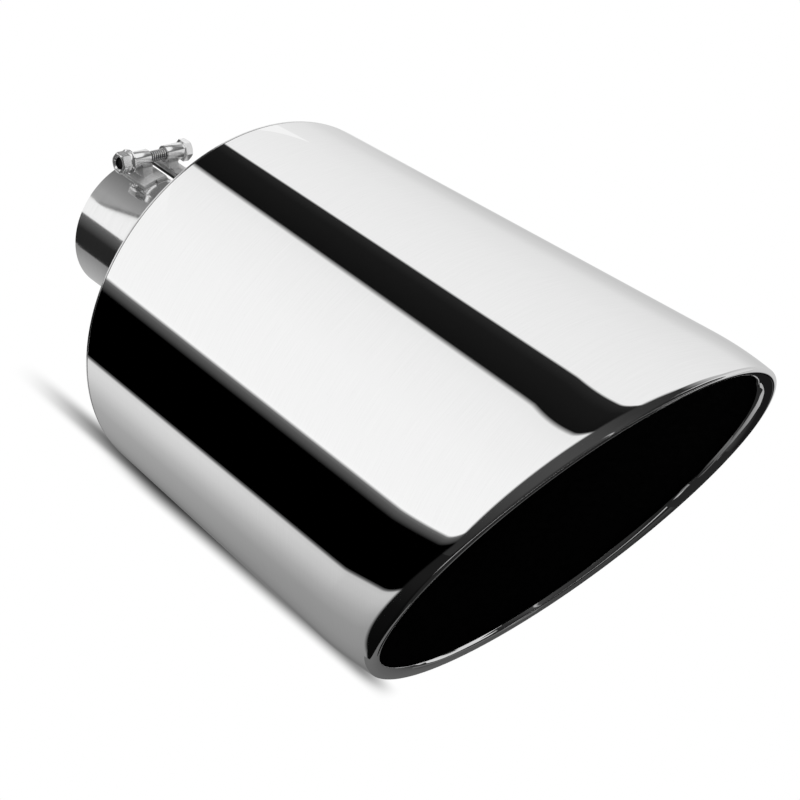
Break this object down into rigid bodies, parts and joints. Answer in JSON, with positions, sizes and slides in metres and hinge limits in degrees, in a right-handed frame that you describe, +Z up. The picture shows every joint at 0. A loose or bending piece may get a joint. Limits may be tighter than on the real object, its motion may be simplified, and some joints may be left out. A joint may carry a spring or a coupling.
{
  "type": "exhaust tip",
  "caption": "Polished flared exhaust tip with a slant-cut rolled outlet, a closed rear cap and a slotted slip-on inlet tube drawn tight by a bolted clamp.",
  "frame": {"origin": "centre of the inlet mouth, on the axis of the tube", "axes": "+Y out of the inlet, along the tailpipe; -Y out of the outlet; +Z up, on the long side of the slanted outlet; +X to the right for someone who looks along +Y into the outlet"},
  "size_m": [0.2166, 0.3967, 0.2166],
  "materials": {
    "polished_shell": "mirror polished",
    "cap_steel": "polished",
    "tube_steel": "polished",
    "weld_metal": "as welded",
    "lug_steel": "satin",
    "sleeve_steel": "polished",
    "fastener_zinc": "bright zinc"
  },
  "bodies": {
    "root": {"outer_shell": "polished_shell", "rear_cap": "cap_steel", "inlet_tube": "tube_steel", "inlet_weld": "weld_metal", "clamp_lug_left": "lug_steel", "clamp_lug_right": "lug_steel", "clamp_sleeve_left": "sleeve_steel", "clamp_sleeve_right": "sleeve_steel", "sleeve_welds": "weld_metal", "foot_welds": "weld_metal", "clamp_bolt": "fastener_zinc", "clamp_nut": "fastener_zinc"}
  },
  "joints": []
}
